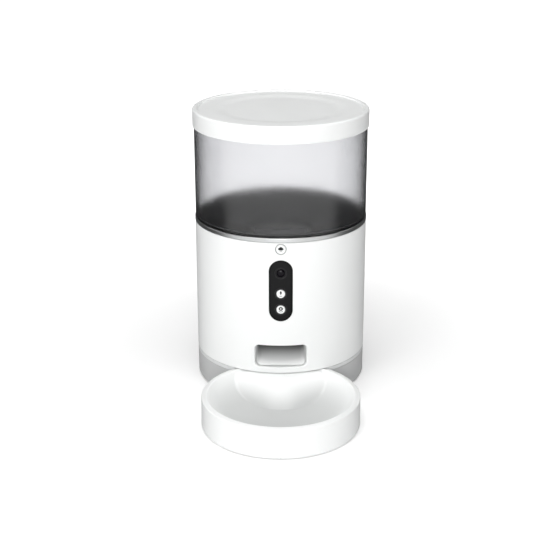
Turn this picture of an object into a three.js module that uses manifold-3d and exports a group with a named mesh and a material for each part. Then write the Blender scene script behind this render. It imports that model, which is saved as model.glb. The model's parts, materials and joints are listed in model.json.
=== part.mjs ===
// Automatic pet feeder: round food tank on a tower body, with a bowl half under it.
// Millimetres, +Z up, bowl towards -Y. Every piece is drawn about the tower axis at x = 0, y = 0,
// and the group stands AXIS_BACK behind the origin, so the origin is under the middle of the box.
import * as THREE from "three";
import { mergeVertices } from "three/addons/utils/BufferGeometryUtils.js";
import Module from "manifold-3d";

const wasm = await Module();
wasm.setup();

// Facets round the big shells, middle-sized rounds and small rounds.
const BIG = 40;
const MID = 16;
const SMALL = 8;

// Gap left between neighbouring pieces.
const GAP = 0.3;

// Distance from the tower axis back to the middle of the whole feeder.
const AXIS_BACK = 66.3;

// Tower shells.
const BODY_R = 95;
const BODY_WALL = 2.5;
const BODY_Z0 = 34.1;
const BODY_Z1 = 182.6;
const INNER_R = BODY_R - BODY_WALL - GAP;
const BASE_R = 94.8;
const BASE_WALL = 2.9;
const BASE_Z0 = 0.8;
const BASE_Z1 = 33.8;
const TRIM_R = 95.2;
const TRIM_HOLE_R = 91.2;
const TRIM_Z0 = 182.9;
const TRIM_Z1 = 187.5;

// Tank, funnel and lid.
const TANK_R = 94.6;
const TANK_IN_R = 92.2;
const TANK_Z0 = 187.8;
const TANK_Z1 = 302.6;
const SPIGOT_R = 90.9;
const SPIGOT_IN_R = 88.5;
const SPIGOT_Z0 = 182.3;
const SHELF_Z = 189.4;
const FUNNEL_Z1 = 191.2;
const NECK_R = 38.5;
const NECK_IN_R = 37;
const LID_R = 96;
const LID_Z0 = 288;
const LID_Z1 = 307;

// Bowl: centre, rim and the bay it slides into.
const BOWL_Y = -145.2;
const BOWL_R = 83.4;
const BOWL_RIM_Z = 33.6;
const BAY_R = 84.2;
const BAY_WALL = 2;
const DOME_Y = -60;

// Outlet window and food path.
const OUTLET_HALF = 29.4;
const OUTLET_Z0 = 40.1;
const OUTLET_Z1 = 66.4;
const OUTLET_CORNER = 5;
const CHUTE_HALF = 26;
const CHUTE_WALL = 1.6;
const POT_R = 45;
const POT_IN_R = 42.6;
const POT_Z0 = 118;
const POT_Z1 = 166;

// Front controls.
const PANEL_HALF = 12.7;
const PANEL_Z0 = 94.5;
const PANEL_Z1 = 163.5;
const CAMERA_Z = 148.8;
const UPPER_Z = 125.8;
const LOWER_Z = 108;
const FEED_Z = 175.7;
const RING_R = 6.6;
const BUTTON_R = 4.6;
const FEED_R = 5.2;
const FEED_RING_R = 6;
const FRONT_Y = -95.1;
const BOARD_Y = -82;

// Gear train.
const MODULE = 1.5;
const PRESSURE = (20 * Math.PI) / 180;
const BACKLASH = 0.28;
const DRIVE_TEETH = 20;
const IDLER_TEETH = 26;
const PINION_TEETH = 14;
const GEAR_Z0 = 106;
const GEAR_Z1 = 113;
const DRIVE_TO_IDLER = Math.PI / 4;
const IDLER_TO_PINION = (165 * Math.PI) / 180;
const IDLER_POS = along(0, 0, DRIVE_TO_IDLER, (MODULE * (DRIVE_TEETH + IDLER_TEETH)) / 2);
const PINION_POS = along(IDLER_POS[0], IDLER_POS[1], IDLER_TO_PINION,
  (MODULE * (IDLER_TEETH + PINION_TEETH)) / 2);

// Battery bay.
const TRAY_HALF = 41.5;
const TRAY_Y0 = -4;
const TRAY_Y1 = 53;

// Back of the tower: speaker grille and DC socket.
const SPEAKER_Z = 130;
const GRILLE_HALF = 22;
const GRILLE_Z0 = 112;
const GRILLE_Z1 = 148;
const GRILLE_CORNER = 6;
const SLOT_HALF = 15;
const SLOT_HEIGHT = 2.4;
const SLOT_PITCH = 5.6;
const SOCKET_Z = 16;

// Round holes for the screws, the rotor shaft and the idler pin.
const SCREW_HOLE_R = 1.65;
const SHAFT_HOLE_R = 4.3;
const PIN_HOLE_R = 2.1;

const FOOT_PLACES = [[70, -45], [-70, -45], [40, 74], [-40, 74]];
const SCREW_PLACES = [[76, -20], [-76, -20], [70, 42], [-70, 42]];

const WHITE = 0xf4f5f4;
const SMOKE = 0xdfe3e8;
const SMOKE_OPACITY = 0.4;
const GREY = 0xb4b7ba;
const DARK = 0x55585c;
const BLACK = 0x151618;
const STEEL = 0xc4c7ca;
const RUBBER = 0x2b2c2e;
const BRASS = 0xb99a55;
const BOARD = 0x1f6b45;

function along(x, y, angle, distance) {
  return [x + Math.cos(angle) * distance, y + Math.sin(angle) * distance];
}

// ---- solids ----

function solid(geometry) {
  geometry.deleteAttribute("normal");
  geometry.deleteAttribute("uv");
  const merged = mergeVertices(geometry, 1e-4);
  const points = new Float32Array(merged.attributes.position.array);
  const faces = new Uint32Array(merged.index.array);
  if (signedVolume(points, faces) < 0) {
    for (let i = 0; i < faces.length; i += 3) {
      const swap = faces[i];
      faces[i] = faces[i + 1];
      faces[i + 1] = swap;
    }
  }
  const mesh = new wasm.Mesh({ numProp: 3, vertProperties: points, triVerts: faces });
  return new wasm.Manifold(mesh);
}

function signedVolume(points, faces) {
  const a = new THREE.Vector3();
  const b = new THREE.Vector3();
  const c = new THREE.Vector3();
  let sum = 0;
  for (let i = 0; i < faces.length; i += 3) {
    a.fromArray(points, faces[i] * 3);
    b.fromArray(points, faces[i + 1] * 3);
    c.fromArray(points, faces[i + 2] * 3);
    sum += a.dot(b.cross(c));
  }
  return sum / 6;
}

function join(...solids) {
  return solids.reduce((all, one) => all.add(one));
}

function cut(body, ...tools) {
  return tools.reduce((rest, tool) => rest.subtract(tool), body);
}

function common(a, b) {
  return a.intersect(b);
}

// A profile of [radius, height] pairs turned about Z through (x, y).
function turn(profile, sides, x = 0, y = 0) {
  const closed = profile[0][0] > 0 || profile[profile.length - 1][0] > 0;
  const points = profile.map(([r, z]) => new THREE.Vector2(r, z));
  if (closed) {
    points.push(points[0].clone());
  }
  const geometry = new THREE.LatheGeometry(points, sides);
  geometry.rotateX(Math.PI / 2);
  geometry.translate(x, y, 0);
  return solid(geometry);
}

// The same about an axis along Y at (x, z): heights in the profile are Y values.
function turnAlongY(profile, sides, x, z) {
  const closed = profile[0][0] > 0 || profile[profile.length - 1][0] > 0;
  const points = profile.map(([r, y]) => new THREE.Vector2(r, y));
  if (closed) {
    points.push(points[0].clone());
  }
  const geometry = new THREE.LatheGeometry(points, sides);
  geometry.translate(x, 0, z);
  return solid(geometry);
}

function ring(rIn, rOut, z0, z1, sides, x = 0, y = 0) {
  return turn([[rIn, z0], [rOut, z0], [rOut, z1], [rIn, z1]], sides, x, y);
}

function disc(r, z0, z1, sides, x = 0, y = 0) {
  return turn([[0, z0], [r, z0], [r, z1], [0, z1]], sides, x, y);
}

function ringAlongY(rIn, rOut, y0, y1, sides, z) {
  return turnAlongY([[rIn, y0], [rOut, y0], [rOut, y1], [rIn, y1]], sides, 0, z);
}

function discAlongY(r, y0, y1, sides, z) {
  return turnAlongY([[0, y0], [r, y0], [r, y1], [0, y1]], sides, 0, z);
}

function box(x0, x1, y0, y1, z0, z1) {
  const geometry = new THREE.BoxGeometry(x1 - x0, y1 - y0, z1 - z0);
  geometry.translate((x0 + x1) / 2, (y0 + y1) / 2, (z0 + z1) / 2);
  return solid(geometry);
}

// A shape drawn in X and Z, running from y0 to y1.
function frontPrism(shape, y0, y1) {
  const geometry = new THREE.ExtrudeGeometry(shape, {
    depth: y1 - y0,
    bevelEnabled: false,
    curveSegments: 6,
  });
  geometry.rotateX(Math.PI / 2);
  geometry.translate(0, y1, 0);
  return solid(geometry);
}

// A polygon of [y, z] pairs, running from -half to +half in X.
function sidePrism(corners, half) {
  const shape = new THREE.Shape(corners.map(([y, z]) => new THREE.Vector2(y, z)));
  const geometry = new THREE.ExtrudeGeometry(shape, { depth: half * 2, bevelEnabled: false });
  geometry.rotateX(Math.PI / 2);
  geometry.rotateZ(Math.PI / 2);
  geometry.translate(-half, 0, 0);
  return solid(geometry);
}

function roundedShape(half, z0, z1, radius) {
  const shape = new THREE.Shape();
  shape.moveTo(-half + radius, z0);
  shape.lineTo(half - radius, z0);
  shape.absarc(half - radius, z0 + radius, radius, -Math.PI / 2, 0);
  shape.lineTo(half, z1 - radius);
  shape.absarc(half - radius, z1 - radius, radius, 0, Math.PI / 2);
  shape.lineTo(-half + radius, z1);
  shape.absarc(-half + radius, z1 - radius, radius, Math.PI / 2, Math.PI);
  shape.lineTo(-half, z0 + radius);
  shape.absarc(-half + radius, z0 + radius, radius, Math.PI, Math.PI * 1.5);
  return shape;
}

// ---- lid ----

function lid() {
  return turn([
    [0, 304.6],
    [60, 304.6],
    [74, 305.7],
    [90, 305.7],
    [92, LID_Z1],
    [94.4, LID_Z1],
    [LID_R, 305.4],
    [LID_R, LID_Z0],
    [TANK_R + GAP, LID_Z0],
    [TANK_R + GAP, 302.9],
    [90.4, 302.9],
    [90.4, 296],
    [88.4, 296],
    [88.4, 302.9],
    [0, 302.9],
  ], BIG);
}

function lidSeal() {
  return ring(90.7, 91.8, 296.5, 300.5, BIG);
}

function desiccantBox() {
  return ring(27.6, 29.6, 286.9, 302.6, MID);
}

function desiccantCover() {
  let cover = disc(29.6, 284.6, 286.6, MID);
  for (let i = -2; i <= 2; i += 1) {
    cover = cut(cover, box(-16, 16, i * 7 - 1.6, i * 7 + 1.6, 284, 287));
  }
  return cover;
}

// ---- tank ----

function tank() {
  return turn([
    [TANK_R, TANK_Z1],
    [TANK_IN_R, TANK_Z1],
    [TANK_IN_R, SHELF_Z],
    [SPIGOT_IN_R, SHELF_Z],
    [SPIGOT_IN_R, SPIGOT_Z0],
    [SPIGOT_R, SPIGOT_Z0],
    [SPIGOT_R, TANK_Z0],
    [TANK_R, TANK_Z0],
  ], BIG);
}

function tankFloor() {
  return turn([
    [91.9, SHELF_Z + GAP],
    [91.9, FUNNEL_Z1],
    [86.8, FUNNEL_Z1],
    [NECK_IN_R, 172.4],
    [NECK_IN_R, 163.5],
    [NECK_R, 163.5],
    [NECK_R, 171.4],
    [87.2, SHELF_Z + GAP],
  ], BIG);
}

function tankCatch() {
  return common(ring(89.4, 91.9, FUNNEL_Z1 + GAP, 197, BIG), box(-27.5, 27.5, -93, -80, 190, 200));
}

// ---- tower body ----

function bodyShell() {
  const wall = ring(BODY_R - BODY_WALL, BODY_R, BODY_Z0, BODY_Z1, BIG);
  const window = frontPrism(roundedShape(OUTLET_HALF, OUTLET_Z0, OUTLET_Z1, OUTLET_CORNER), -97, -80);
  const panelHole = frontPrism(capsule(GAP), -97, -80);
  const feedHole = discAlongY(FEED_RING_R + GAP, -97, -80, MID, FEED_Z);
  const grilleHole = frontPrism(roundedShape(GRILLE_HALF, GRILLE_Z0, GRILLE_Z1, GRILLE_CORNER), 80, 97);
  return cut(wall, window, panelHole, feedHole, grilleHole);
}

function trimRing() {
  return ring(TRIM_HOLE_R, TRIM_R, TRIM_Z0, TRIM_Z1, BIG);
}

function topDeck() {
  const deck = ring(46, INNER_R, 166.3, 169.3, BIG);
  return cut(deck, box(-24, 24, -94, -79.6, 165, 171));
}

function midPlate() {
  return disc(INNER_R, 34.4, 36.4, BIG);
}

function basePlate() {
  let plate = disc(BASE_R - BASE_WALL - GAP, 2, 4, BIG);
  plate = cut(plate, disc(BAY_R + BAY_WALL + GAP, 0, 6, BIG, 0, BOWL_Y));
  plate = cut(plate, box(-45.6, 45.6, -8, 65, 0, 6));
  for (const [x, y] of SCREW_PLACES) {
    plate = cut(plate, disc(SCREW_HOLE_R, 0, 6, SMALL, x, y));
  }
  return plate;
}

// Outer skirt, wall of the bowl bay, screw bosses and the hole for the DC socket.
function baseRing() {
  const inner = BASE_R - BASE_WALL;
  let skirt = turn([
    [inner, BASE_Z0],
    [BASE_R - 1.4, BASE_Z0],
    [BASE_R, BASE_Z0 + 1.6],
    [BASE_R, BASE_Z1],
    [inner, BASE_Z1],
  ], BIG);
  skirt = cut(skirt, disc(BAY_R, -1, 40, BIG, 0, BOWL_Y));
  const bay = ring(BAY_R, BAY_R + BAY_WALL, BASE_Z0, BASE_Z1, BIG, 0, BOWL_Y);
  let base = join(skirt, common(bay, disc(inner + 0.5, 0, 40, BIG)));
  for (const [x, y] of SCREW_PLACES) {
    const boss = disc(4, 4.3, 18, SMALL, x, y);
    const rib = bossRib(x, y, 8, 18, 2);
    base = join(base, boss, rib);
  }
  for (const [x, y] of SCREW_PLACES) {
    base = cut(base, disc(SCREW_HOLE_R, 4, 16.6, SMALL, x, y));
  }
  return cut(base, discAlongY(5.8, 80, 97, MID, SOCKET_Z));
}

// A rib from a boss at (x, y) out to the skirt.
function bossRib(x, y, z0, z1, width) {
  const angle = Math.atan2(y, x);
  const from = Math.hypot(x, y);
  const to = BASE_R - BASE_WALL + 0.8;
  const geometry = new THREE.BoxGeometry(to - from, width, z1 - z0);
  geometry.translate((to + from) / 2, 0, (z0 + z1) / 2);
  geometry.rotateZ(angle);
  return solid(geometry);
}

function foot([x, y]) {
  return disc(5.5, 0, 1.7, MID, x, y);
}

function screw([x, y]) {
  return turn([[0, 0.7], [3, 0.7], [3, 1.7], [1.35, 1.7], [1.35, 15.6], [0, 15.6]], SMALL, x, y);
}

// ---- food path ----

function dispenserPot() {
  const pot = turn([
    [0, POT_Z0],
    [POT_R, POT_Z0],
    [POT_R, 163.2],
    [52, 163.2],
    [52, POT_Z1],
    [POT_IN_R, POT_Z1],
    [POT_IN_R, 120.5],
    [0, 120.5],
  ], BIG);
  const outlet = box(-22, 22, -41, -22, 117, 122);
  return cut(pot, outlet, disc(7.6, 117, 122, MID));
}

function rotorBush() {
  return turn([
    [4.1, 116],
    [10, 116],
    [10, 117.7],
    [7.3, 117.7],
    [7.3, 120.6],
    [4.1, 120.6],
  ], MID);
}

// Half plate over the outlet side of the pot, so that food only leaves as the wheel turns.
function foodBaffle() {
  return common(disc(POT_IN_R - GAP, 159.5, 161.5, BIG), box(-50, 50, -50, -6, 150, 170));
}

function chute() {
  const outside = [[-19.4, 117.7], [-19.4, 91.2], [-92, 38.8], [-96, 38.8], [-96, 67.7],
    [-92, 67.7], [-44.6, 97], [-44.6, 117.7]];
  const inside = [[-21, 119], [-21, 92], [-92.5, 40.4], [-97, 40.4], [-97, 66.1],
    [-92.5, 66.1], [-43, 96], [-43, 119]];
  const duct = sidePrism(outside, CHUTE_HALF + CHUTE_WALL);
  const flange = common(box(-33, 33, -96, -70, 38.8, 69.6), ring(90.4, INNER_R, 30, 80, BIG));
  const whole = join(duct, flange);
  return common(cut(whole, sidePrism(inside, CHUTE_HALF)), disc(INNER_R, 30, 120, BIG));
}

function paddleWheel() {
  let wheel = disc(9, 122, 158, MID);
  for (let i = 0; i < 3; i += 1) {
    const geometry = new THREE.BoxGeometry(83, 2.2, 36);
    geometry.translate(0, 0, 140);
    geometry.rotateZ((i * Math.PI) / 3 + Math.PI / 6);
    wheel = join(wheel, solid(geometry));
  }
  return cut(wheel, disc(SHAFT_HOLE_R, 120, 160, MID));
}

function rotorShaft() {
  return disc(4, 102, 158.6, MID);
}

// ---- gear train ----

function involute(angle) {
  return Math.tan(angle) - angle;
}

// Involute spur gear; a tooth is centred on the direction `phase`.
function gear(teeth, phase, bore, [x, y]) {
  const pitchR = (MODULE * teeth) / 2;
  const baseR = pitchR * Math.cos(PRESSURE);
  const tipR = pitchR + 0.8 * MODULE;
  const rootR = pitchR - 1.25 * MODULE;
  const halfTooth = ((Math.PI * MODULE) / 2 - BACKLASH) / 2 / pitchR;
  const half = (r) => halfTooth + involute(PRESSURE) - involute(Math.acos(Math.min(1, baseR / r)));
  const steps = [[rootR, half(baseR)], [pitchR, half(pitchR)], [tipR, half(tipR)]];
  const points = [];
  for (let i = 0; i < teeth; i += 1) {
    const middle = phase + (i * 2 * Math.PI) / teeth;
    for (const [r, angle] of steps) {
      points.push(new THREE.Vector2(...along(0, 0, middle - angle, r)));
    }
    for (const [r, angle] of [...steps].reverse()) {
      points.push(new THREE.Vector2(...along(0, 0, middle + angle, r)));
    }
  }
  const geometry = new THREE.ExtrudeGeometry(new THREE.Shape(points), {
    depth: GEAR_Z1 - GEAR_Z0,
    bevelEnabled: false,
  });
  geometry.translate(x, y, GEAR_Z0);
  return cut(solid(geometry), disc(bore, GEAR_Z0 - 1, GEAR_Z1 + 1, MID, x, y));
}

function driveGear() {
  return gear(DRIVE_TEETH, DRIVE_TO_IDLER, SHAFT_HOLE_R, [0, 0]);
}

function idlerPhase() {
  return DRIVE_TO_IDLER + Math.PI + Math.PI / IDLER_TEETH;
}

function idlerGear() {
  return gear(IDLER_TEETH, idlerPhase(), PIN_HOLE_R, IDLER_POS);
}

function pinionGear() {
  const turnBack = ((IDLER_TO_PINION - idlerPhase()) * IDLER_TEETH) / PINION_TEETH;
  const phase = IDLER_TO_PINION + Math.PI + turnBack + Math.PI / PINION_TEETH;
  return gear(PINION_TEETH, phase, 1.8, PINION_POS);
}

function idlerPin() {
  return disc(2, 101, 117.6, MID, ...IDLER_POS);
}

function motorShaft() {
  return disc(1.5, 104.3, 115, SMALL, ...PINION_POS);
}

function motor() {
  return turn([
    [0, 62],
    [5, 62],
    [5, 63.6],
    [13, 63.6],
    [13, 88],
    [13.8, 88.6],
    [13.8, 103.4],
    [0, 103.4],
  ], MID, ...PINION_POS);
}

// Plate under the gears, hung from the pot on three posts.
function motorBracket() {
  let bracket = box(-34, 40, -14, 48, 103.7, 105.6);
  for (const [x, y] of [[-27, 2], [32, -8], [-28, 34]]) {
    bracket = join(bracket, disc(3, 105, 117.7, SMALL, x, y));
  }
  bracket = cut(bracket, disc(4.5, 100, 107, MID), disc(2.3, 100, 107, MID, ...IDLER_POS));
  return cut(bracket, disc(1.9, 100, 107, SMALL, ...PINION_POS));
}

// ---- front controls ----

function capsule(grow) {
  return roundedShape(PANEL_HALF + grow, PANEL_Z0 - grow, PANEL_Z1 + grow, PANEL_HALF + grow - 0.01);
}

function frontPanel() {
  let panel = common(frontPrism(capsule(0), -97, -80), ring(92.5, 94.8, 80, 180, BIG));
  for (const z of [CAMERA_Z, UPPER_Z, LOWER_Z]) {
    panel = cut(panel, discAlongY(RING_R + GAP, -97, -80, MID, z));
  }
  return panel;
}

function cameraBezel() {
  return ringAlongY(4.5, RING_R, FRONT_Y, -92.2, MID, CAMERA_Z);
}

function cameraLens() {
  return turnAlongY([[0, -94.9], [2.4, -94.6], [4.1, -93.8], [4.1, -91.4], [0, -91.4]], MID, 0, CAMERA_Z);
}

function cameraModule() {
  return box(-9, 9, -90.8, -82.3, CAMERA_Z - 9, CAMERA_Z + 9);
}

function buttonRing(z) {
  return ringAlongY(BUTTON_R + GAP, RING_R, FRONT_Y, -92.2, MID, z);
}

function feedButtonRing() {
  return ringAlongY(FEED_R + GAP, FEED_RING_R, FRONT_Y, -92.2, MID, FEED_Z);
}

function button(r, z) {
  return turnAlongY([
    [0, -95.6],
    [r - 1, -95.6],
    [r, -95],
    [r, -91.6],
    [2, -91.6],
    [2, -88.8],
    [0, -88.8],
  ], MID, 0, z);
}

function tactSwitch(z) {
  const body = box(-3, 3, -85.8, BOARD_Y - GAP, z - 3, z + 3);
  return join(body, discAlongY(1.6, -87.2, -85, SMALL, z));
}

function controlBoard() {
  return box(-20, 20, BOARD_Y, BOARD_Y + 1.6, 94, 182);
}

// ---- back of the body ----

function speaker() {
  return turnAlongY([[0, 74], [9, 74], [9, 80], [17, 84], [17, 87.5], [0, 87.5]], MID, 0, SPEAKER_Z);
}

function speakerGrille() {
  const outline = roundedShape(GRILLE_HALF - GAP, GRILLE_Z0 + GAP, GRILLE_Z1 - GAP, GRILLE_CORNER - GAP);
  const plate = frontPrism(outline, 80, 97);
  let grille = common(plate, ring(92.5, 94.8, 100, 160, BIG));
  for (let i = -2; i <= 2; i += 1) {
    const z = SPEAKER_Z + i * SLOT_PITCH;
    grille = cut(grille, box(-SLOT_HALF, SLOT_HALF, 80, 97, z - SLOT_HEIGHT / 2, z + SLOT_HEIGHT / 2));
  }
  return grille;
}

function dcSocket() {
  const body = discAlongY(5.5, 82, 94.4, MID, SOCKET_Z);
  const pin = discAlongY(0.9, 84, 89, SMALL, SOCKET_Z);
  return join(cut(body, discAlongY(3.25, 84.5, 96, MID, SOCKET_Z)), pin);
}

// ---- battery bay ----

function batteryTray() {
  const wall = 1.6;
  const outside = box(-TRAY_HALF - wall, TRAY_HALF + wall, TRAY_Y0 - wall, TRAY_Y1 + wall, 4.3, 33.4);
  return cut(outside, box(-TRAY_HALF, TRAY_HALF, TRAY_Y0, TRAY_Y1, 0, 31.8));
}

function batteryContact(y) {
  return box(-40, 40, y, y + 0.6, 9, 27);
}

function batteryDoor() {
  const plate = box(-45.2, 45.2, -7.6, 56.6, 2.2, 3.8);
  const grip = box(-12, 12, 48, 50, 1.4, 2.6);
  return join(plate, grip);
}

// ---- bowl ----

// Half of an egg-shaped hump with a flat top, standing on the bowl's floor at the back.
function dome(shrink, bottom, top) {
  const geometry = new THREE.SphereGeometry(1, 20, 10);
  geometry.rotateX(Math.PI / 2);
  geometry.scale(56 - shrink, 73 - shrink, 30 - shrink);
  geometry.translate(0, DOME_Y, 8);
  return common(solid(geometry), box(-64, 64, BOWL_Y, DOME_Y + 20, bottom, top));
}

function bowl() {
  const basin = turn([
    [77.2, 1.3],
    [81.7, 1.3],
    [82, 0.5],
    [82.8, 0.5],
    [BOWL_R, 1.2],
    [BOWL_R, BOWL_RIM_Z],
    [79.4, BOWL_RIM_Z],
    [75.2, 28],
    [69, 19.2],
    [58, 11.6],
    [42, 8.4],
    [0, 8],
    [0, 5.6],
    [43, 6],
    [60, 9.6],
    [71, 17.4],
    [80.9, 30.4],
    [80.9, 3.4],
    [77.2, 3.4],
  ], BIG, 0, BOWL_Y);
  const inside = disc(81.4, 0, 40, BIG, 0, BOWL_Y);
  const hollow = common(dome(2.2, 3, 30.8), disc(80.9, 0, 40, BIG, 0, BOWL_Y));
  return cut(join(basin, common(dome(0, 5.8, 33.2), inside)), hollow);
}

function bowlPad(degrees) {
  const [x, y] = along(0, BOWL_Y, (degrees * Math.PI) / 180, 79.1);
  return disc(2.3, 0, 1, SMALL, x, y);
}

// ---- assembly ----

function add(group, name, body, color, roughness, metalness = 0) {
  const mesh = body.getMesh();
  const geometry = new THREE.BufferGeometry();
  geometry.setAttribute("position", new THREE.BufferAttribute(new Float32Array(mesh.vertProperties), 3));
  geometry.setIndex(new THREE.BufferAttribute(new Uint32Array(mesh.triVerts), 1));
  geometry.computeVertexNormals();
  const material = new THREE.MeshStandardMaterial({ color, roughness, metalness, flatShading: true });
  const part = new THREE.Mesh(geometry, material);
  part.name = name;
  group.add(part);
  return part;
}

function build() {
  const group = new THREE.Group();
  group.name = "automatic_pet_feeder";
  group.position.y = AXIS_BACK;

  add(group, "lid", lid(), WHITE, 0.3);
  add(group, "lid_seal", lidSeal(), GREY, 0.8);
  add(group, "desiccant_box", desiccantBox(), WHITE, 0.5);
  add(group, "desiccant_cover", desiccantCover(), WHITE, 0.5);

  const tankMesh = add(group, "tank", tank(), SMOKE, 0.25);
  tankMesh.material.transparent = true;
  tankMesh.material.opacity = SMOKE_OPACITY;
  add(group, "tank_floor", tankFloor(), DARK, 0.5);
  add(group, "tank_catch", tankCatch(), DARK, 0.5);

  add(group, "trim_ring", trimRing(), STEEL, 0.3, 1);
  add(group, "body_shell", bodyShell(), WHITE, 0.3);
  add(group, "top_deck", topDeck(), WHITE, 0.5);
  add(group, "mid_plate", midPlate(), WHITE, 0.5);
  add(group, "base_ring", baseRing(), GREY, 0.5);
  add(group, "base_plate", basePlate(), GREY, 0.6);
  FOOT_PLACES.forEach((place, i) => add(group, `foot_${i + 1}`, foot(place), RUBBER, 0.9));
  SCREW_PLACES.forEach((place, i) => add(group, `screw_${i + 1}`, screw(place), STEEL, 0.4, 1));

  add(group, "dispenser_pot", dispenserPot(), DARK, 0.5);
  add(group, "rotor_bush", rotorBush(), BRASS, 0.4, 1);
  add(group, "food_baffle", foodBaffle(), DARK, 0.5);
  add(group, "chute", chute(), WHITE, 0.4);
  add(group, "paddle_wheel", paddleWheel(), DARK, 0.6);
  add(group, "rotor_shaft", rotorShaft(), STEEL, 0.3, 1);

  add(group, "drive_gear", driveGear(), WHITE, 0.5);
  add(group, "idler_gear", idlerGear(), WHITE, 0.5);
  add(group, "pinion_gear", pinionGear(), BRASS, 0.4, 1);
  add(group, "idler_pin", idlerPin(), STEEL, 0.3, 1);
  add(group, "motor_shaft", motorShaft(), STEEL, 0.3, 1);
  add(group, "motor", motor(), STEEL, 0.4, 1);
  add(group, "motor_bracket", motorBracket(), STEEL, 0.4, 1);

  add(group, "front_panel", frontPanel(), BLACK, 0.15);
  add(group, "camera_bezel", cameraBezel(), STEEL, 0.3, 1);
  add(group, "camera_lens", cameraLens(), BLACK, 0.05);
  add(group, "camera_module", cameraModule(), BLACK, 0.6);
  add(group, "upper_button_ring", buttonRing(UPPER_Z), GREY, 0.4);
  add(group, "lower_button_ring", buttonRing(LOWER_Z), GREY, 0.4);
  add(group, "feed_button_ring", feedButtonRing(), GREY, 0.4);
  add(group, "feed_button", button(FEED_R, FEED_Z), WHITE, 0.3);
  add(group, "upper_button", button(BUTTON_R, UPPER_Z), WHITE, 0.3);
  add(group, "lower_button", button(BUTTON_R, LOWER_Z), WHITE, 0.3);
  add(group, "feed_switch", tactSwitch(FEED_Z), BLACK, 0.6);
  add(group, "upper_switch", tactSwitch(UPPER_Z), BLACK, 0.6);
  add(group, "lower_switch", tactSwitch(LOWER_Z), BLACK, 0.6);
  add(group, "control_board", controlBoard(), BOARD, 0.5);

  add(group, "speaker", speaker(), BLACK, 0.7);
  add(group, "speaker_grille", speakerGrille(), WHITE, 0.4);
  add(group, "dc_socket", dcSocket(), BLACK, 0.5);

  add(group, "battery_tray", batteryTray(), GREY, 0.6);
  add(group, "battery_contact_front", batteryContact(TRAY_Y0 + GAP), STEEL, 0.3, 1);
  add(group, "battery_contact_back", batteryContact(TRAY_Y1 - GAP - 0.6), STEEL, 0.3, 1);
  add(group, "battery_door", batteryDoor(), GREY, 0.6);

  add(group, "bowl", bowl(), WHITE, 0.25);
  [-90, 30, 150].forEach((degrees, i) => {
    add(group, `bowl_pad_${i + 1}`, bowlPad(degrees), RUBBER, 0.9);
  });
  return group;
}

export default build();
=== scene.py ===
"""Automatic pet feeder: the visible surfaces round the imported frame.

Sizes below are millimetres about the tower's axis, bowl towards -Y, as on a drawing of the
feeder. to_row() turns them into metres in the row frame when a mesh is made.
"""
import json
import math
from collections import namedtuple

import bmesh
import bpy
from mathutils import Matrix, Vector
from mathutils.geometry import delaunay_2d_cdt


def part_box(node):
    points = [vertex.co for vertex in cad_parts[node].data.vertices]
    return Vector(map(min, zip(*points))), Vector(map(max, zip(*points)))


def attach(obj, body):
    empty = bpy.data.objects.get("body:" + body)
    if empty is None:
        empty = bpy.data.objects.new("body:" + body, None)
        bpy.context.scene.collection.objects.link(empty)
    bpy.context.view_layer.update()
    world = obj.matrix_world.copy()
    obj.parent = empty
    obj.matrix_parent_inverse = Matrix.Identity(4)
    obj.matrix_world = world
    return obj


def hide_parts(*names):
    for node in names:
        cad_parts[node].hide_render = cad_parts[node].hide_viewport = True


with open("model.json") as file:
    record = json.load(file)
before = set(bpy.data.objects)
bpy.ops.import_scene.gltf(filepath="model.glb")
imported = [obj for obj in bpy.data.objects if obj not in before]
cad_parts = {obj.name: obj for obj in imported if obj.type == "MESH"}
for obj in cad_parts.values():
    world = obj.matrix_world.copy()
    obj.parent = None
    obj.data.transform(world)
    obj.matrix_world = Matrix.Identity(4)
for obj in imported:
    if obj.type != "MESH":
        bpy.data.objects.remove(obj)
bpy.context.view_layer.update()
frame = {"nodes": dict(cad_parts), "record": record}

NODES = frame["nodes"]

MM = 0.001
TURN = 2 * math.pi
STEPS = 180
FRONT_STEPS = 48
CIRCLE_STEPS = 40

# ---- sizes worked out from the frame ----


TANK_LOW, TANK_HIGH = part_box("tank")
AXIS_BACK = (TANK_LOW.y + TANK_HIGH.y) / 2 / MM


def span(node):
    """Lowest and highest corner of a node in millimetres about the tower's axis."""
    low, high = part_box(node)
    return [(v.x / MM, v.y / MM - AXIS_BACK, v.z / MM) for v in (low, high)]


def middle(node):
    return [(low + high) / 2 for low, high in zip(*span(node))]


LID_LOW, LID_HIGH = span("lid")
LID_R = LID_HIGH[0]
LID_Z0 = LID_LOW[2]
LID_Z1 = LID_HIGH[2]
TANK_R = span("tank")[1][0]
TANK_Z1 = span("tank")[1][2]
TANK_WALL = 2.4
TANK_Z0 = TANK_LOW.z / MM
FUNNEL_Z1 = span("tank_floor")[1][2]
CATCH_Z1 = span("tank_catch")[1][2]
BODY_R = span("body_shell")[1][0]
BODY_Z0 = span("body_shell")[0][2]
BODY_Z1 = span("body_shell")[1][2]
BODY_IN_R = BODY_R - 2.5
TRIM_R = span("trim_ring")[1][0]
TRIM_Z0 = span("trim_ring")[0][2]
TRIM_Z1 = span("trim_ring")[1][2]
BASE_R = span("base_ring")[1][0]
BASE_Z0 = span("base_ring")[0][2]
BASE_Z1 = span("base_ring")[1][2]
BAND_Z = 29.2
BOWL_Y = middle("bowl")[1]
BOWL_HIGH = span("bowl")[1]
BOWL_R = BOWL_HIGH[0]
BOWL_RIM = BOWL_HIGH[2]
BOWL_FLOOR = 8.0
BAY_R = BOWL_R + 0.8
CROWN_R = 78.0
RIM_DROP = 0.72
PANEL_LOW, PANEL_HIGH = span("front_panel")
PANEL_HALF = PANEL_HIGH[0]
CAMERA_Z = middle("camera_bezel")[2]
UPPER_Z = middle("upper_button")[2]
LOWER_Z = middle("lower_button")[2]
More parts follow.
